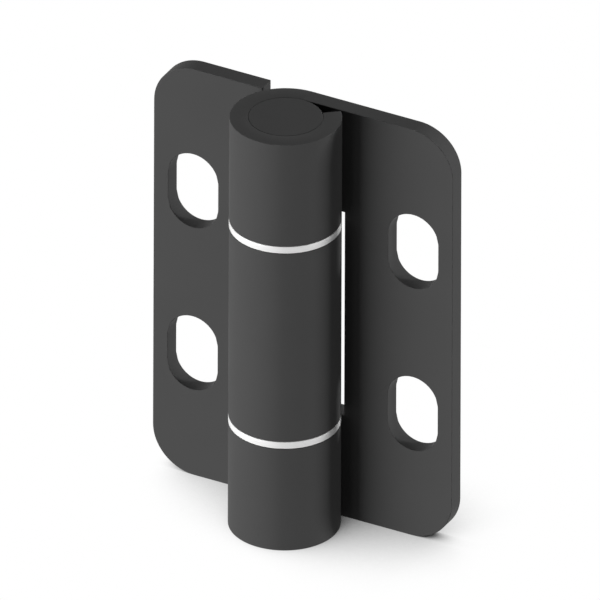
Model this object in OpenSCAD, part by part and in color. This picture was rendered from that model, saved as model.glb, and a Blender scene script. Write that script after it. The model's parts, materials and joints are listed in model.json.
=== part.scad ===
// Leaf hinge of rolled sheet steel, opened flat and standing on its end.
// Each leaf is one sheet, and its inner edge is rolled round the pin into knuckles. The right
// leaf carries the two outer knuckles and the left leaf the middle one, and a plastic washer
// keeps each pair of knuckles apart.
// The pin's axis is the Z axis and the foot is at z = 0. The fronts of the leaves face -Y, and
// their backs lie in one plane that touches the backs of the knuckles.

/* [Leaves] */
// Length of the hinge along its pin
hinge_length = 50; // [40:1:120]
// Distance from the pin's axis to a leaf's outer edge
leaf_reach = 18; // [16:0.5:40]
// Thickness of the sheet
sheet_t = 2; // [1:0.1:3]
// Radius of each leaf's outer corners
corner_r = 5; // [0.5:0.5:8]

/* [Screw slots] */
// Width of a screw slot
slot_w = 6; // [3:0.5:7]
// Length of a screw slot with its round ends
slot_l = 9; // [8:0.5:14]
// Distance from a leaf's outer edge to the middle of a slot
slot_inset = 4.75; // [4:0.25:6]
// Distance between the middles of the two slots in a leaf
slot_pitch = 20; // [16:0.5:25]

/* [Knuckles] */
// Diameter of the bore in each knuckle
knuckle_bore = 8; // [4:0.5:9]
// Height of the cut-out that holds the middle knuckle and both washers
middle_span = 25; // [12:0.5:30]
// Gap between a knuckle's rolled end and the front of its own leaf
curl_gap = 0.15; // [0.05:0.05:0.8]
// Gap between a knuckle and the edge of the other leaf, which turns past it
sweep_gap = 0.4; // [0.3:0.05:1]

/* [Pin] */
// Clearance in radius between the pin and the middle knuckle, which turns on it
turn_clearance = 0.05; // [0.02:0.01:0.1]
// Clearance in radius between the ends of the pin and the outer knuckles, which grip it
grip_clearance = 0.01; // [0.005:0.005:0.02]
// Chamfer round each end of the pin
pin_chamfer = 0.2; // [0.05:0.05:0.5]

/* [Washers] */
// Thickness of a washer
washer_t = 0.8; // [0.4:0.1:2]
// Clearance above and below each washer
washer_play = 0.05; // [0.02:0.01:0.2]
// Clearance in radius between a washer and the pin
washer_clearance = 0.1; // [0.06:0.01:0.3]

/* [Hidden] */
$fn = 96;

// How far a cutting shape reaches past the face that it cuts
cut_past = 1;

bore_r = knuckle_bore / 2;
knuckle_r = bore_r + sheet_t;
// The front of a leaf lies on the tangent of its own bore, and the back on that of the knuckle
front_y = bore_r;
// Angle at which the rolled edge ends, just short of the front of its leaf
curl_end = asin((front_y - curl_gap) / knuckle_r);
// Distance from the pin's axis to the edge that lets the other leaf's knuckle turn past
edge_x = sqrt(pow(knuckle_r + sweep_gap, 2) - pow(front_y, 2));

outer_knuckle_h = (hinge_length - middle_span) / 2;
middle_z0 = outer_knuckle_h;
middle_z1 = hinge_length - outer_knuckle_h;
// The space for one washer with its play, and the ends of the middle knuckle beyond it
washer_space = washer_t + 2 * washer_play;
tab_z0 = middle_z0 + washer_space;
tab_z1 = middle_z1 - washer_space;

grip_r = bore_r - grip_clearance;
journal_r = bore_r - turn_clearance;

// Section of a leaf across the pin: a flat sheet whose edge is rolled round the bore
module leaf_section() {
    past_r = 2 * knuckle_r;
    difference() {
        circle(knuckle_r);
        circle(bore_r);
        polygon([
            [0, 0],
            [past_r * cos(curl_end), past_r * sin(curl_end)],
            [past_r, past_r],
            [0, past_r]
        ]);
    }
    translate([0, front_y]) square([leaf_reach, sheet_t]);
}

// What the punch takes off one outer corner, at the origin with the leaf at -X and -Z
module corner_waste() {
    translate([-corner_r, front_y - cut_past, -corner_r]) difference() {
        cube([corner_r + cut_past, sheet_t + 2 * cut_past, corner_r + cut_past]);
        translate([0, -cut_past, 0]) rotate([-90, 0, 0])
            cylinder(h = sheet_t + 4 * cut_past, r = corner_r);
    }
}

// A slot through the sheet, centred on the origin, with round ends
module slot_cut() {
    half_run = (slot_l - slot_w) / 2;
    depth = sheet_t + 2 * cut_past;
    translate([0, front_y - cut_past, 0]) {
        translate([-slot_w / 2, 0, -half_run]) cube([slot_w, depth, 2 * half_run]);
        for (side = [-1, 1])
            translate([0, 0, side * half_run]) rotate([-90, 0, 0]) cylinder(h = depth, r = slot_w / 2);
    }
}

// Everything that the two leaves share: the rolled sheet, its corners and its slots
module leaf_blank() {
    difference() {
        linear_extrude(hinge_length) leaf_section();
        translate([leaf_reach, 0, hinge_length]) corner_waste();
        translate([leaf_reach, 0, 0]) mirror([0, 0, 1]) corner_waste();
        for (side = [-1, 1])
            translate([leaf_reach - slot_inset, 0, hinge_length / 2 + side * slot_pitch / 2])
                slot_cut();
    }
}

// Takes the roll away between two heights, and the sheet as far out as its edge there
module knuckle_cut(z0, z1) {
    past_r = knuckle_r + cut_past;
    roll_end_y = front_y - curl_gap / 2;
    translate([0, 0, z0]) linear_extrude(z1 - z0) polygon([
        [-past_r, -past_r],
        [past_r, -past_r],
        [past_r, roll_end_y],
        [edge_x, roll_end_y],
        [edge_x, past_r],
        [-past_r, past_r]
    ]);
}

// Right leaf with the top and bottom knuckles
module outer_leaf() {
    color([0.25, 0.25, 0.26]) difference() {
        leaf_blank();
        knuckle_cut(middle_z0, middle_z1);
    }
}

// Left leaf with the middle knuckle, rolled the other way round
module inner_leaf() {
    color([0.27, 0.27, 0.28]) mirror([1, 0, 0]) difference() {
        leaf_blank();
        knuckle_cut(-cut_past, tab_z0);
        knuckle_cut(tab_z1, hinge_length + cut_past);
    }
}

// Turned pin, flush with both ends of the hinge, and thinner where the middle knuckle turns
module hinge_pin() {
    color([0.21, 0.21, 0.22]) rotate_extrude() polygon([
        [0, 0],
        [grip_r - pin_chamfer, 0],
        [grip_r, pin_chamfer],
        [grip_r, middle_z0],
        [journal_r, middle_z0],
        [journal_r, middle_z1],
        [grip_r, middle_z1],
        [grip_r, hinge_length - pin_chamfer],
        [grip_r - pin_chamfer, hinge_length],
        [0, hinge_length]
    ]);
}

// Flat washer as wide as the knuckles, with its lower face at height z
module washer(z) {
    translate([0, 0, z]) difference() {
        cylinder(h = washer_t, r = knuckle_r);
        translate([0, 0, -cut_past])
            cylinder(h = washer_t + 2 * cut_past, r = journal_r + washer_clearance);
    }
}

module upper_washer() {
    color([0.93, 0.93, 0.92]) washer(middle_z1 - washer_play - washer_t);
}

module lower_washer() {
    color([0.93, 0.93, 0.92]) washer(middle_z0 + washer_play);
}

outer_leaf();
inner_leaf();
hinge_pin();
upper_washer();
lower_washer();
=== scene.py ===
"""Leaf hinge of rolled sheet steel with a charcoal coating, opened flat and standing on its end.

Both leaves are punched here as flat blanks with rounded rims, and a geometry-nodes tree then rolls
each blank round the pin, as the press does. The pin and the washers are turned. Lengths are in
metres in the frame's own axes, and angles are in degrees where a name doesn't say otherwise.
"""
import json
import math

import bpy
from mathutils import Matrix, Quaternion, Vector
from mathutils.geometry import delaunay_2d_cdt


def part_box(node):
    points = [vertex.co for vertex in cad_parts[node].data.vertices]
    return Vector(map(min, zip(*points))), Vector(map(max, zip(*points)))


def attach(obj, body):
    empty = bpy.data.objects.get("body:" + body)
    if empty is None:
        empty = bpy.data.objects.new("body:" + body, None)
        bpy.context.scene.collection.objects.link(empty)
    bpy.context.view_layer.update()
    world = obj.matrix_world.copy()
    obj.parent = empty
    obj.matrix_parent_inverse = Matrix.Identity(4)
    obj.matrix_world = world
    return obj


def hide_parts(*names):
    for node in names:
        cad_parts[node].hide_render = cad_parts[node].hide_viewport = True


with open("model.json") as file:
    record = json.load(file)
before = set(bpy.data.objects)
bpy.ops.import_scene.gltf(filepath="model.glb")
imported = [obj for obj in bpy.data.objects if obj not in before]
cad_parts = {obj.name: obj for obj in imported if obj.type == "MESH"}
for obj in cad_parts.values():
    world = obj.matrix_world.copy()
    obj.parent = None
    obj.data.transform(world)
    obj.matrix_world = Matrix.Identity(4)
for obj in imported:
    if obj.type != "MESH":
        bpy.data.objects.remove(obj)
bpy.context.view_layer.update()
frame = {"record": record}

MM = 0.001

# Sizes that the frame gives. A leaf's front touches the circle of the bore, so the place of its slots
# gives the bore's radius, and its back touches the circle of the knuckle.

SLOTS = next(m for m in frame["record"]["mounts"] if m["name"] == "right_screw_slots")
LEAF_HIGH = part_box("outer_leaf")[1]
HEIGHT = LEAF_HIGH.z
LEAF_REACH = LEAF_HIGH.x
KNUCKLE_R = LEAF_HIGH.y
BORE_R = SLOTS["pos_m"][1]
SHEET_T = KNUCKLE_R - BORE_R
SLOT_X = SLOTS["pos_m"][0]
SLOT_R = SLOTS["dims"]["hole_r_mm"] * MM
SLOT_LENGTH = SLOTS["dims"]["slot_length_mm"] * MM
SLOT_PITCH = SLOTS["dims"]["spacing_y_mm"] * MM
PIN_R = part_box("hinge_pin")[1].x

# Sizes that match the CAD model's own values

CORNER_R = 5.0 * MM
CURL_GAP = 0.15 * MM
SWEEP_GAP = 0.4 * MM
WASHER_PLAY = 0.05 * MM
WASHER_BORE_R = 4.05 * MM
JOURNAL_R = 3.95 * MM

# Radii of the rounded edges, and the short run that keeps the pin's ends flat up to their edge and
# over which its shoulders fall

RIM_R = 0.07 * MM
WASHER_RIM_R = 0.05 * MM
PIN_EDGE_R = 0.07 * MM
EDGE_HOLD = 0.02 * MM

# How finely round stretches are cut: steps in each arc or turn, and degrees in each step of the roll

RIM_STEPS = 4
BEND_STEP = 2.5
CORNER_STEPS = 20
SLOT_STEPS = 28
TURNING_STEPS = 180

# The angle past which an edge shows as a crease, and how near two places count as the same

CREASE_ANGLE = 35.0
CLOSE = 0.001 * MM

# The roll: how far it turns from the leaf's straight run, and its length along the sheet's middle,
# which is as long rolled as flat

ROLL_ANGLE = 270 + math.degrees(math.asin((BORE_R - CURL_GAP) / KNUCKLE_R))
NEUTRAL_R = BORE_R + SHEET_T / 2
ROLL_LENGTH = math.radians(ROLL_ANGLE) * NEUTRAL_R

# The edge that the other leaf's knuckle turns past, and the heights where the knuckles end

EDGE_X = math.sqrt((KNUCKLE_R + SWEEP_GAP) ** 2 - BORE_R**2)
LOWER_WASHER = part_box("lower_washer")
UPPER_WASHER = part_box("upper_washer")
MIDDLE_LOW = LOWER_WASHER[0].z - WASHER_PLAY
MIDDLE_HIGH = UPPER_WASHER[1].z + WASHER_PLAY
TAB_LOW = LOWER_WASHER[1].z + WASHER_PLAY
TAB_HIGH = UPPER_WASHER[0].z - WASHER_PLAY

# The photograph's camera, and the middle of its frame as seen from the hinge's middle

VIEW_AZIMUTH = 28.096
VIEW_ELEVATION = 30.694
VIEW_ROLL = 0.201
VIEW_WIDTH = 63.68 * MM
VIEW_RIGHT = 1.595 * MM
VIEW_UP = 2.04 * MM
VIEW_DISTANCE = 0.4
VIEW_NEAREST = 0.01
VIEW_FARTHEST = 10.0

# The lamps: azimuth, elevation, width, height and strength. Azimuth 0 is in front and 90 to the
# right, and at strength 1 a lamp makes a white face that is turned to it render as white. Those in
# front and to the right stand level with the hinge, so that no light falls over a knuckle's top.

LAMP_DISTANCE = 0.6
LAMPS = {
    "key_left_front": (-33, 0, 0.55, 0.05, 1.11),
    "strip_right_behind": (115, 0, 0.08, 0.05, 0.6),
    "strip_right": (82, 0, 0.1, 0.05, 0.12),
    "fill_front": (0, 0, 0.1, 0.05, 0.04),
    "fill_behind": (180, 9, 0.4, 0.19, 0.35),
    "fill_top_behind": (180, 80, 0.2, 0.2, 0.38),
}

# How strongly the floor and the sky light the hinge, and half the floor's width

FLOOR_LIGHT = 0.12
SKY_LIGHT = 0.01
FLOOR_HALF = 1.0

# The floor's painted shadow: how far off the hinge still darkens it, the way that it looks for light,
# the curve from there to its painted tone, and how many rays each look takes

SHADOW_REACH = 21.5 * MM
SHADOW_TILT = Vector((-0.289, -0.224, 1.0)).normalized()
SHADOW_CURVE = 0.485
SHADOW_DEPTH = 2.192
SHADOW_START = 0.241
SHADOW_SAMPLES = 16


class Wire:
    """A node's output that can be used in sums, as in 1 - mask * 0.5."""

    def __init__(self, nodes, socket):
        self.nodes = nodes
        self.socket = socket

    def output(self, name):
        """Another output of the same node."""
        return Wire(self.nodes, in_use(self.socket.node.outputs, name))

    def __add__(self, other):
        return self.nodes.calc("ADD", self, other)

    def __radd__(self, other):
        return self.nodes.calc("ADD", other, self)

    def __sub__(self, other):
        return self.nodes.calc("SUBTRACT", self, other)

    def __rsub__(self, other):
        return self.nodes.calc("SUBTRACT", other, self)

    def __mul__(self, other):
        return self.nodes.calc("MULTIPLY", self, other)

    def __rmul__(self, other):
        return self.nodes.calc("MULTIPLY", other, self)

    def __truediv__(self, other):
        return self.nodes.calc("DIVIDE", self, other)

    def __pow__(self, other):
        return self.nodes.calc("POWER", self, other)


def in_use(sockets, key):
    """A socket by its name or its place, among those that the node's settings leave in use."""
    sockets = [s for s in sockets if s.enabled]
    return sockets[key] if isinstance(key, int) else next(s for s in sockets if s.name == key)


class Nodes:
    """The nodes of one tree."""

    def __init__(self, tree):
        self.tree = tree
        self.tree.nodes.clear()

    def node(self, kind, settings=None, sockets=None, output=0):
        """Adds a node with its settings, then the values and links of its sockets."""
        node = self.tree.nodes.new(kind)
        for name, value in (settings or {}).items():
            setattr(node, name, value)
        for key, value in (sockets or {}).items():
            socket = in_use(node.inputs, key)
            if isinstance(value, Wire):
                self.tree.links.new(value.socket, socket)
            else:
                socket.default_value = value
        if not node.outputs:
            return None
        return Wire(self, in_use(node.outputs, output))

    def calc(self, operation, *values):
        """One step of a sum."""
        return self.node("ShaderNodeMath", {"operation": operation}, dict(enumerate(values)))


# The leaves

def arc(centre, radius, start, end, steps):
    """Points along an arc, both ends included."""
    turns = [math.radians(start + (end - start) * i / steps) for i in range(steps + 1)]
    return [centre + Vector((math.cos(t), math.sin(t))) * radius for t in turns]


def bend_lines():
    """Distances along the sheet, below zero, at which the roll gets a row of points."""
    count = math.ceil(ROLL_ANGLE / BEND_STEP)
    return [-ROLL_LENGTH * i / count for i in range(count)]


def with_bend_points(loop):
    """The loop with a point wherever a level run crosses a bend line."""
    out = []
    for here, there in zip(loop, loop[1:] + loop[:1]):
        out.append(here)
        if abs(here.y - there.y) > CLOSE:
            continue
        low, high = sorted((here.x, there.x))
        crossed = [u for u in bend_lines() if low + CLOSE < u < high - CLOSE]
        crossed.sort(reverse=there.x < here.x)
        out.extend(Vector((u, here.y)) for u in crossed)
    return out


def blank_outline(steps_down):
    """Outline of a flat blank, counterclockwise as seen from the front.

    steps_down gives the rolled side from the top to the foot, as (upper, lower, how far out).
    """
    loop = []
    for upper, lower, out in steps_down:
        loop += [Vector((out, upper)), Vector((out, lower))]
    corner = LEAF_REACH - CORNER_R
    loop += arc(Vector((corner, CORNER_R)), CORNER_R, -90, 0, CORNER_STEPS)
    loop += arc(Vector((corner, HEIGHT - CORNER_R)), CORNER_R, 0, 90, CORNER_STEPS)
    return with_bend_points(loop)


def slot_outline(middle_z):
    """Outline of a screw slot, clockwise, so that the sheet is on its left as on the rim."""
    run = SLOT_LENGTH / 2 - SLOT_R
    loop = arc(Vector((SLOT_X, middle_z + run)), SLOT_R, 180, 0, SLOT_STEPS)
    loop += arc(Vector((SLOT_X, middle_z - run)), SLOT_R, 0, -180, SLOT_STEPS)
    return loop


def inset(loop, distance):
    """The loop moved to its left, into the sheet, by a distance."""
    out = []
    for before, here, after in zip(loop[-1:] + loop[:-1], loop, loop[1:] + loop[:1]):
        run_in = (here - before).normalized()
        run_out = (after - here).normalized()
        left_in = Vector((-run_in.y, run_in.x))
        left_out = Vector((-run_out.y, run_out.x))
        out.append(here + (left_in + left_out) * (distance / (1 + left_in.dot(left_out))))
    return out


def rim_profile():
    """The rim's section from the front to the back, as (inset, depth into the sheet)."""
    turns = [math.radians(90 * i / RIM_STEPS) for i in range(RIM_STEPS + 1)]
    front = [(RIM_R * (1 - math.sin(t)), RIM_R * (1 - math.cos(t))) for t in turns]
    return front + [(inwards, SHEET_T - depth) for inwards, depth in reversed(front)]


def in_slot(x, z):
    """Whether a place on the blank lies inside one of its two screw slots."""
    from_middle = abs(abs(z - HEIGHT / 2) - SLOT_PITCH / 2)
    past_run = max(0.0, from_middle - (SLOT_LENGTH / 2 - SLOT_R))
    return math.hypot(x - SLOT_X, past_run) < SLOT_R


def blank_cap(loops):
    """Triangles that fill the blank inside its loops, as indices into all their points in order.

    Every bend line on a tab is kept as an edge, so that the roll bends only along its rows.
    """
    points = [p for loop in loops for p in loop]
    edges = []
    start = 0
    for loop in loops:
        edges += [(start + i, start + (i + 1) % len(loop)) for i in range(len(loop))]
        start += len(loop)
    for u in bend_lines():
        row = sorted((p.y, i) for i, p in enumerate(points) if abs(p.x - u) < CLOSE)
        edges += [(row[k][1], row[k + 1][1]) for k in range(0, len(row) - 1, 2)]
    keep_inside = 1
    nearness = 1e-9
    _, _, faces, sources, _, _ = delaunay_2d_cdt(points, edges, [], keep_inside, nearness)
    triangles = []
    for face in faces:
        corners = [sources[i][0] for i in face]
        middle = sum((points[i] for i in corners), Vector((0, 0))) / len(corners)
        if not in_slot(middle.x, middle.y):
            triangles.append(corners)
    return triangles


def blank_mesh(name, steps_down):
    """A flat punched blank with rounded rims: x along the sheet, y from its front, z up."""
    middle = HEIGHT / 2
    outlines = [blank_outline(steps_down)]
    outlines += [slot_outline(middle + side * SLOT_PITCH / 2) for side in (-1, 1)]
    profile = rim_profile()
    points = []
    for inwards, depth in profile:
        for outline in outlines:
            points += [(p.x, BORE_R + depth, p.y) for p in inset(outline, inwards)]
    ring = sum(len(outline) for outline in outlines)
    faces = []
    start = 0
    for outline in outlines:
        for i in range(len(outline)):
            here, there = start + i, start + (i + 1) % len(outline)
            for k in range(len(profile) - 1):
                low, high = k * ring, (k + 1) * ring
                faces.append((low + here, high + here, high + there, low + there))
        start += len(outline)
    cap = blank_cap([inset(outline, profile[0][0]) for outline in outlines])
    back = (len(profile) - 1) * ring
    faces += [tuple(face) for face in cap]
    faces += [tuple(back + i for i in reversed(face)) for face in cap]
    mesh = bpy.data.meshes.new(name)
    mesh.from_pydata(points, [], faces)
    return mesh


def rolling_tree():
    """Rolls a flat blank round the pin, turns it end for end if asked, and creases its corners.

    Returns the tree and the identifiers of its inputs by name.
    """
    tree = bpy.data.node_groups.new("roll_the_blank", "GeometryNodeTree")
    kinds = {
        "Blank": "NodeSocketGeometry",
        "Neutral radius": "NodeSocketFloat",
        "Height": "NodeSocketFloat",
        "Turned end for end": "NodeSocketBool",
        "Crease angle": "NodeSocketFloat",
        "Finish": "NodeSocketMaterial",
    }
    sockets = {
        name: tree.interface.new_socket(name=name, in_out="INPUT", socket_type=kind)
        for name, kind in kinds.items()
    }
    tree.interface.new_socket(name="Leaf", in_out="OUTPUT", socket_type="NodeSocketGeometry")
    nodes = Nodes(tree)
    given = nodes.node("NodeGroupInput")

    place = nodes.node("GeometryNodeInputPosition")
    split = nodes.node("ShaderNodeSeparateXYZ", {}, {"Vector": place})
    along, radius, up = (split.output(axis) for axis in "XYZ")
    flat_run = nodes.calc("MAXIMUM", along, 0.0)
    turn = math.pi / 2 - nodes.calc("MINIMUM", along, 0.0) / given.output("Neutral radius")
    rolled = nodes.node(
        "ShaderNodeCombineXYZ",
        {},
        {
            "X": flat_run + radius * nodes.calc("COSINE", turn),
            "Y": radius * nodes.calc("SINE", turn),
            "Z": up,
        },
    )
    leaf = nodes.node(
        "GeometryNodeSetPosition", {}, {"Geometry": given.output("Blank"), "Position": rolled}
    )

    lifted = nodes.node("ShaderNodeCombineXYZ", {}, {"Z": given.output("Height")})
    turned_leaf = nodes.node(
        "GeometryNodeTransform",
        {},
        {"Geometry": leaf, "Translation": lifted, "Rotation": (0.0, math.pi, 0.0)},
    )
    chosen = nodes.node(
        "GeometryNodeSwitch",
        {"input_type": "GEOMETRY"},
        {"Switch": given.output("Turned end for end"), "False": leaf, "True": turned_leaf},
    )

    angle = nodes.node("GeometryNodeInputMeshEdgeAngle", output="Unsigned Angle")
    smooth = nodes.node("GeometryNodeSetShadeSmooth", {"domain": "FACE"}, {"Geometry": chosen})
    creased = nodes.node(
        "GeometryNodeSetShadeSmooth",
        {"domain": "EDGE"},
        {
            "Geometry": smooth,
            "Selection": nodes.calc("GREATER_THAN", angle, given.output("Crease angle")),
            "Shade Smooth": False,
        },
    )
    real = nodes.node("GeometryNodeRealizeInstances", {}, {"Geometry": creased})
    done = nodes.node(
        "GeometryNodeSetMaterial", {}, {"Geometry": real, "Material": given.output("Finish")}
    )
    nodes.node("NodeGroupOutput", {}, {"Leaf": done})
    return tree, {name: socket.identifier for name, socket in sockets.items()}


def settle(piece, name):
    """The piece's final mesh with its modifiers worked in, on a plain object at the origin."""
    piece.modifiers.new("even_normals", "WEIGHTED_NORMAL").keep_sharp = True
    graph = bpy.context.evaluated_depsgraph_get()
    mesh = bpy.data.meshes.new_from_object(
        piece.evaluated_get(graph), preserve_all_data_layers=True, depsgraph=graph
    )
    mesh.name = name
    bpy.data.objects.remove(piece)
    return link(bpy.data.objects.new(name, mesh))


def link(obj):
    """Puts an object in the scene."""
    bpy.context.collection.objects.link(obj)
    return obj


def leaf(name, steps_down, turned, tree, inputs, finish):
    """One rolled leaf."""
    blank_name = name + "_blank"
    blank = link(bpy.data.objects.new(blank_name, blank_mesh(blank_name, steps_down)))
    roll = blank.modifiers.new("roll", "NODES")
    roll.node_group = tree
    roll[inputs["Neutral radius"]] = NEUTRAL_R
    roll[inputs["Height"]] = HEIGHT
    roll[inputs["Turned end for end"]] = turned
    roll[inputs["Crease angle"]] = math.radians(CREASE_ANGLE)
    roll[inputs["Finish"]] = finish
    return settle(blank, name)


# The pin and the washers

def turned_part(name, profile, closed, finish):
    """A part turned about the pin's axis from its section, as (radius, height) from foot to top.

    An open section begins and ends on the axis. A closed one goes round a ring's wall.
    """
    points = []
    rows = []
    for radius, z in profile:
        if radius < CLOSE:
            rows.append([len(points)] * TURNING_STEPS)
            points.append((0.0, 0.0, z))
            continue
        rows.append(list(range(len(points), len(points) + TURNING_STEPS)))
        for i in range(TURNING_STEPS):
            turn = 2 * math.pi * i / TURNING_STEPS
            points.append((radius * math.cos(turn), radius * math.sin(turn), z))
    pairs = list(zip(rows, rows[1:] + rows[:1])) if closed else list(zip(rows, rows[1:]))
    faces = []
    for lower, upper in pairs:
        for i in range(TURNING_STEPS):
            j = (i + 1) % TURNING_STEPS
            corners = [lower[i], lower[j], upper[j], upper[i]]
            faces.append(tuple(dict.fromkeys(corners)))
    mesh = bpy.data.meshes.new(name + "_turned")
    mesh.from_pydata(points, [], faces)
    mesh.shade_smooth()
    mesh.set_sharp_from_angle(angle=math.radians(CREASE_ANGLE))
    mesh.materials.append(finish)
    return settle(link(bpy.data.objects.new(name + "_turned", mesh)), name)


def pin_profile():
    """Half the pin's section: flat ends with a rounded edge, and a thinner journal between."""
    flat_r = PIN_R - PIN_EDGE_R
    lower = [(0.0, 0.0), (flat_r - EDGE_HOLD, 0.0)]
    lower += [tuple(p) for p in arc(Vector((flat_r, PIN_EDGE_R)), PIN_EDGE_R, -90, 0, RIM_STEPS)]
    lower += [(PIN_R, MIDDLE_LOW), (JOURNAL_R, MIDDLE_LOW + EDGE_HOLD)]
    return lower + [(radius, HEIGHT - z) for radius, z in reversed(lower)]


def washer_profile(low_z, high_z):
    """Section of a washer's wall with rounded edges, the outer side first and from the foot up."""
    rim = WASHER_RIM_R
    corners = [
        (KNUCKLE_R - rim, low_z + rim, -90),
        (KNUCKLE_R - rim, high_z - rim, 0),
        (WASHER_BORE_R + rim, high_z - rim, 90),
        (WASHER_BORE_R + rim, low_z + rim, 180),
    ]
    out = []
    for radius, z, start in corners:
        out += [tuple(p) for p in arc(Vector((radius, z)), rim, start, start + 90, RIM_STEPS)]
    return out


# Finishes. The coating has far less gloss than most paint, because the photograph shows no
# highlight on it.

COATING_GLOSS = 0.015


class Finish(Nodes):
    """A material whose patterns lie on Object coordinates."""

    def __init__(self, name):
        self.material = bpy.data.materials.new(name)
        self.material.use_nodes = True
        super().__init__(self.material.node_tree)
        self.place = self.node("ShaderNodeTexCoord", output="Object")

    def noise(self, width, detail=2.0):
        """Even noise whose lumps are about as wide as said."""
        sockets = {"Vector": self.place, "Scale": 1 / width, "Detail": detail}
        return self.node("ShaderNodeTexNoise", {}, sockets)

    def blend(self, factor, first, second):
        """A colour between two colours."""
        sockets = {"Factor": factor, "A": first, "B": second}
        return self.node("ShaderNodeMix", {"data_type": "RGBA"}, sockets)

    def bump(self, height, depth):
        """The normal of a surface that rises by depth where height is 1."""
        return self.node("ShaderNodeBump", {}, {"Height": height, "Distance": depth})

    def principled(self, sockets):
        """The finished material with one Principled shader."""
        return self.covered_by(self.node("ShaderNodeBsdfPrincipled", {}, sockets))

    def covered_by(self, shader):
        """The finished material with a shader of any kind."""
        self.node("ShaderNodeOutputMaterial", {}, {"Surface": shader})
        return self.material


def grey(level, warmth=0.0):
    """A grey of one level, a little redder and less blue where it has warmth."""
    return (level * (1 + warmth), level, level * (1 - warmth), 1.0)


def coating():
    """Charcoal powder coating on the leaves: an even tone with a fine orange-peel skin."""
    cloud_width = 6 * MM
    peel_width = 0.45 * MM
    peel_detail = 3.0
    peel_depth = 0.004 * MM
    darker, lighter = grey(0.075), grey(0.081)
    smoothest, roughness_spread = 0.5, 0.1

    finish = Finish("charcoal_coating")
    clouds = finish.noise(cloud_width)
    peel = finish.noise(peel_width, peel_detail)
    return finish.principled({
        "Base Color": finish.blend(clouds, darker, lighter),
        "Roughness": smoothest + roughness_spread * peel,
        "Specular IOR Level": COATING_GLOSS,
        "Normal": finish.bump(peel, peel_depth),
    })


def pin_coating():
    """The pin's coating, over faint rings that the lathe left."""
    cloud_width = 3 * MM
    skin_width = 0.3 * MM
    ring_pitch = 0.16 * MM
    ring_share = 0.3
    skin_depth = 0.002 * MM
    darker, lighter = grey(0.074), grey(0.08)
    smoothest, roughness_spread = 0.48, 0.08

    finish = Finish("charcoal_pin_finish")
    clouds = finish.noise(cloud_width)
    skin = finish.noise(skin_width)
    split = finish.node("ShaderNodeSeparateXYZ", {}, {"Vector": finish.place})
    x, y = split.output("X"), split.output("Y")
    radius = (x * x + y * y) ** 0.5
    rings = 0.5 + 0.5 * finish.calc("SINE", radius * (2 * math.pi / ring_pitch))
    return finish.principled({
        "Base Color": finish.blend(clouds, darker, lighter),
        "Roughness": smoothest + roughness_spread * skin,
        "Specular IOR Level": COATING_GLOSS,
        "Normal": finish.bump(ring_share * rings + skin, skin_depth),
    })


def white_plastic():
    """Smooth white moulded plastic of the washers."""
    cloud_width = 2 * MM
    skin_width = 0.25 * MM
    skin_depth = 0.001 * MM
    darker, lighter = grey(0.88, warmth=0.003), grey(0.91, warmth=0.002)
    smoothest, roughness_spread = 0.36, 0.1
    refraction = 1.7
    gloss = 1.0

    finish = Finish("white_washer_plastic")
    clouds = finish.noise(cloud_width)
    return finish.principled({
        "Base Color": finish.blend(clouds, darker, lighter),
        "Roughness": smoothest + roughness_spread * clouds,
        "IOR": refraction,
        "Specular IOR Level": gloss,
        "Normal": finish.bump(finish.noise(skin_width), skin_depth),
    })


# The studio

def seen_or_cast(nodes, seen, cast):
    """One shader where a ray looks, straight on, in a mirror or through glass, and one for light."""
    rays = nodes.node("ShaderNodeLightPath")
    straight_or_mirrored = nodes.calc(
        "MAXIMUM", rays.output("Is Camera Ray"), rays.output("Is Glossy Ray")
    )
    looking = nodes.calc("MAXIMUM", straight_or_mirrored, rays.output("Is Transmission Ray"))
    return nodes.node("ShaderNodeMixShader", {}, {0: looking, 1: cast, 2: seen})


def floor_finish():
    """A white floor with a painted soft shadow of the hinge, darker where the hinge hides more of the
    view up.

    The lamps don't cast it. It is painted shade in the floor's colour, because a floor that only
    gives light off can't take a shadow.
    """
    finish = Finish("pale_floor")
    tilt = finish.node("ShaderNodeCombineXYZ", {}, dict(zip("XYZ", SHADOW_TILT)))
    openness = finish.node(
        "ShaderNodeAmbientOcclusion",
        {"samples": SHADOW_SAMPLES},
        {"Normal": tilt, "Distance": SHADOW_REACH},
        output="AO",
    )
    # Painted shadow: the floor's colour darkens where the hinge hides its view, in place of a cast
    # shadow
    painted_shadow = SHADOW_DEPTH * (1 - openness**SHADOW_CURVE) - SHADOW_START
    painted_shadow_tone = finish.blend(painted_shadow, grey(1.0), grey(0.0))
    seen = finish.node("ShaderNodeEmission", {}, {"Color": painted_shadow_tone, "Strength": 1.0})
    cast = finish.node("ShaderNodeEmission", {}, {"Color": grey(1.0), "Strength": FLOOR_LIGHT})
    return finish.covered_by(seen_or_cast(finish, seen, cast))


def floor():
    """The floor, square and centred under the hinge."""
    mesh = bpy.data.meshes.new("floor")
    corners = [(-1, -1), (1, -1), (1, 1), (-1, 1)]
    points = [(x * FLOOR_HALF, y * FLOOR_HALF, 0.0) for x, y in corners]
    mesh.from_pydata(points, [], [(0, 1, 2, 3)])
    mesh.materials.append(floor_finish())
    link(bpy.data.objects.new("floor", mesh))


def direction(azimuth, elevation):
    """Unit vector from the hinge towards a place round it."""
    turn, rise = math.radians(azimuth), math.radians(elevation)
    across = math.cos(rise)
    return Vector((math.sin(turn) * across, -math.cos(turn) * across, math.sin(rise)))


def lamp(name, azimuth, elevation, width, height, strength):
    """A flat lamp that faces the hinge's middle."""
    data = bpy.data.lights.new(name, "AREA")
    data.shape = "RECTANGLE"
    data.size = width
    data.size_y = height
    data.energy = strength * (math.pi * LAMP_DISTANCE) ** 2
    softbox = link(bpy.data.objects.new(name, data))
    back = direction(azimuth, elevation)
    softbox.location = Vector((0, 0, HEIGHT / 2)) + back * LAMP_DISTANCE
    softbox.rotation_mode = "QUATERNION"
    softbox.rotation_quaternion = back.to_track_quat("Z", "Y")


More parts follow.
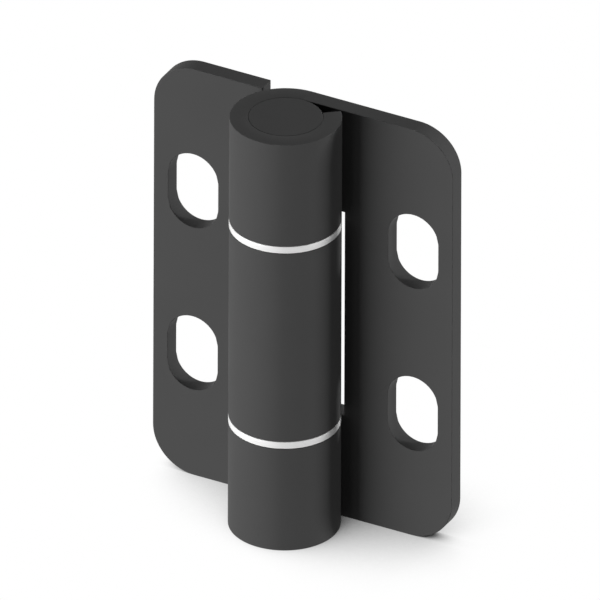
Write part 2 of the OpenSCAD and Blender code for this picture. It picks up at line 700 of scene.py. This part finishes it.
def camera():
    """The photograph's camera, which sees without perspective."""
    data = bpy.data.cameras.new("camera")
    data.type = "ORTHO"
    data.ortho_scale = VIEW_WIDTH
    data.clip_start = VIEW_NEAREST
    data.clip_end = VIEW_FARTHEST
    view = link(bpy.data.objects.new("camera", data))
    back = direction(VIEW_AZIMUTH, VIEW_ELEVATION)
    level = back.to_track_quat("Z", "Y")
    turn = level @ Quaternion((0, 0, 1), math.radians(VIEW_ROLL))
    aim = Vector((0, 0, HEIGHT / 2)) + turn @ Vector((VIEW_RIGHT, VIEW_UP, 0))
    view.rotation_mode = "QUATERNION"
    view.rotation_quaternion = turn
    view.location = aim + back * VIEW_DISTANCE
    bpy.context.scene.camera = view


def sky():
    """White where it is seen, and only a weak fill where it lights the hinge."""
    world = bpy.data.worlds.new("studio")
    world.use_nodes = True
    nodes = Nodes(world.node_tree)
    seen = nodes.node("ShaderNodeBackground", {}, {"Color": grey(1.0), "Strength": 1.0})
    cast = nodes.node("ShaderNodeBackground", {}, {"Color": grey(1.0), "Strength": SKY_LIGHT})
    nodes.node("ShaderNodeOutputWorld", {}, {"Surface": seen_or_cast(nodes, seen, cast)})
    bpy.context.scene.world = world
    bpy.context.scene.view_settings.view_transform = "Standard"


def hinge():
    """Builds every piece and sets it on its body in place of its CAD node."""
    steel = coating()
    tree, inputs = rolling_tree()
    right = leaf(
        "right_leaf",
        [
            (HEIGHT, MIDDLE_HIGH, -ROLL_LENGTH),
            (MIDDLE_HIGH, MIDDLE_LOW, EDGE_X),
            (MIDDLE_LOW, 0.0, -ROLL_LENGTH),
        ],
        False, tree, inputs, steel,
    )
    left = leaf(
        "left_leaf",
        [
            (HEIGHT, TAB_HIGH, EDGE_X),
            (TAB_HIGH, TAB_LOW, -ROLL_LENGTH),
            (TAB_LOW, 0.0, EDGE_X),
        ],
        True, tree, inputs, steel,
    )
    pin = turned_part("pin", pin_profile(), False, pin_coating())
    plastic = white_plastic()
    placed = [
        (right, "outer_leaf_body", "outer_leaf", "leaf_coating"),
        (left, "inner_leaf_body", "inner_leaf", "leaf_coating"),
        (pin, "outer_leaf_body", "hinge_pin", "pin_coating"),
    ]
    for name, node, (low, high) in (
        ("top_washer", "upper_washer", UPPER_WASHER),
        ("bottom_washer", "lower_washer", LOWER_WASHER),
    ):
        ring = turned_part(name, washer_profile(low.z, high.z), True, plastic)
        placed.append((ring, "outer_leaf_body", node, "washer_plastic"))
    for piece, body, node, slot in placed:
        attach(piece, body)
        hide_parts(node)


hinge()
floor()
for lamp_name, values in LAMPS.items():
    lamp(lamp_name, *values)
camera()
sky()
